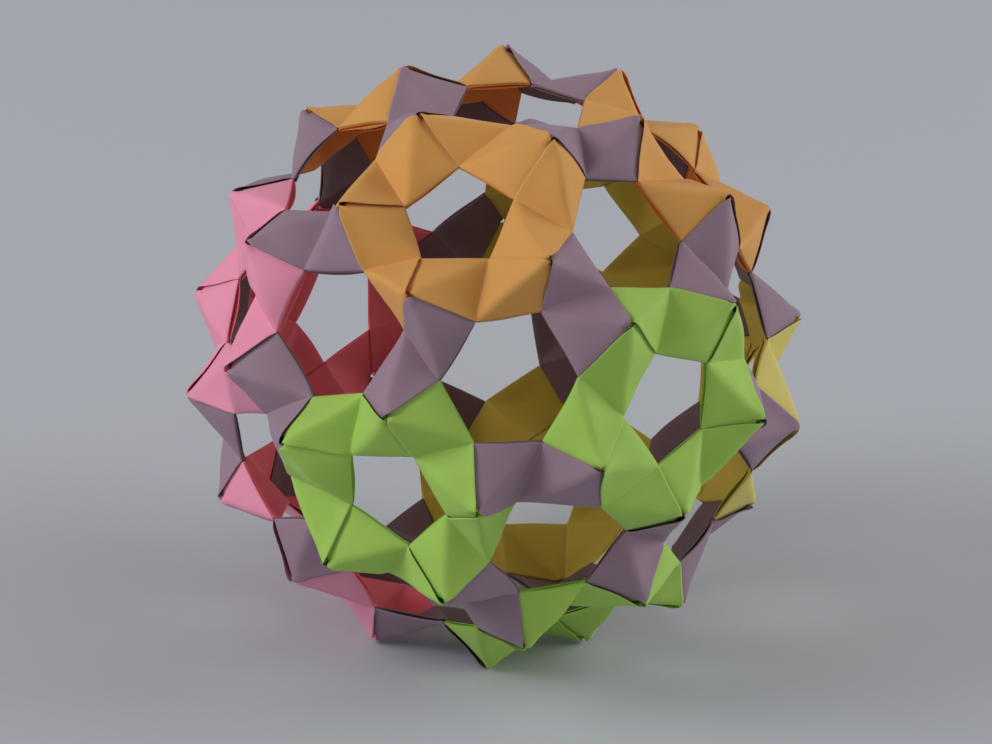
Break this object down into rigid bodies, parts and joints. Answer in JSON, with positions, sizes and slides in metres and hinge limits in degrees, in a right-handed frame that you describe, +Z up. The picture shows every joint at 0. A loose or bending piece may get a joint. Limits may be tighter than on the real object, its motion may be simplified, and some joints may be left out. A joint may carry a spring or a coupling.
{
  "type": "modular origami ball",
  "caption": "Openwork ball of interlocked folded paper units with pentagon and hexagon holes, for display or hanging decoration.",
  "frame": {"origin": "centre of the ball", "axes": "+Z up with the ball standing on the peaks round one hexagon, -Y to the front, towards an upper pentagon ring"},
  "size_m": [0.2096, 0.2106, 0.196],
  "materials": {
    "orange_paper": "matte uncoated paper",
    "green_paper": "matte uncoated paper",
    "pink_paper": "matte uncoated paper",
    "yellow_paper": "matte uncoated paper",
    "lilac_paper": "matte uncoated paper"
  },
  "bodies": {
    "root": {"orange_ring_1": "orange_paper", "orange_ring_2": "orange_paper", "orange_ring_3": "orange_paper", "green_ring_1": "green_paper", "green_ring_2": "green_paper", "green_ring_3": "green_paper", "pink_ring_1": "pink_paper", "pink_ring_2": "pink_paper", "pink_ring_3": "pink_paper", "yellow_ring_1": "yellow_paper", "yellow_ring_2": "yellow_paper", "yellow_ring_3": "yellow_paper", "lilac_link_01": "lilac_paper", "lilac_link_02": "lilac_paper", "lilac_link_03": "lilac_paper", "lilac_link_04": "lilac_paper", "lilac_link_05": "lilac_paper", "lilac_link_06": "lilac_paper", "lilac_link_07": "lilac_paper", "lilac_link_08": "lilac_paper", "lilac_link_09": "lilac_paper", "lilac_link_10": "lilac_paper", "lilac_link_11": "lilac_paper", "lilac_link_12": "lilac_paper", "lilac_link_13": "lilac_paper", "lilac_link_14": "lilac_paper", "lilac_link_15": "lilac_paper", "lilac_link_16": "lilac_paper", "lilac_link_17": "lilac_paper", "lilac_link_18": "lilac_paper", "lilac_link_19": "lilac_paper", "lilac_link_20": "lilac_paper", "lilac_link_21": "lilac_paper", "lilac_link_22": "lilac_paper", "lilac_link_23": "lilac_paper", "lilac_link_24": "lilac_paper", "lilac_link_25": "lilac_paper", "lilac_link_26": "lilac_paper", "lilac_link_27": "lilac_paper", "lilac_link_28": "lilac_paper", "lilac_link_29": "lilac_paper", "lilac_link_30": "lilac_paper"}
  },
  "joints": []
}
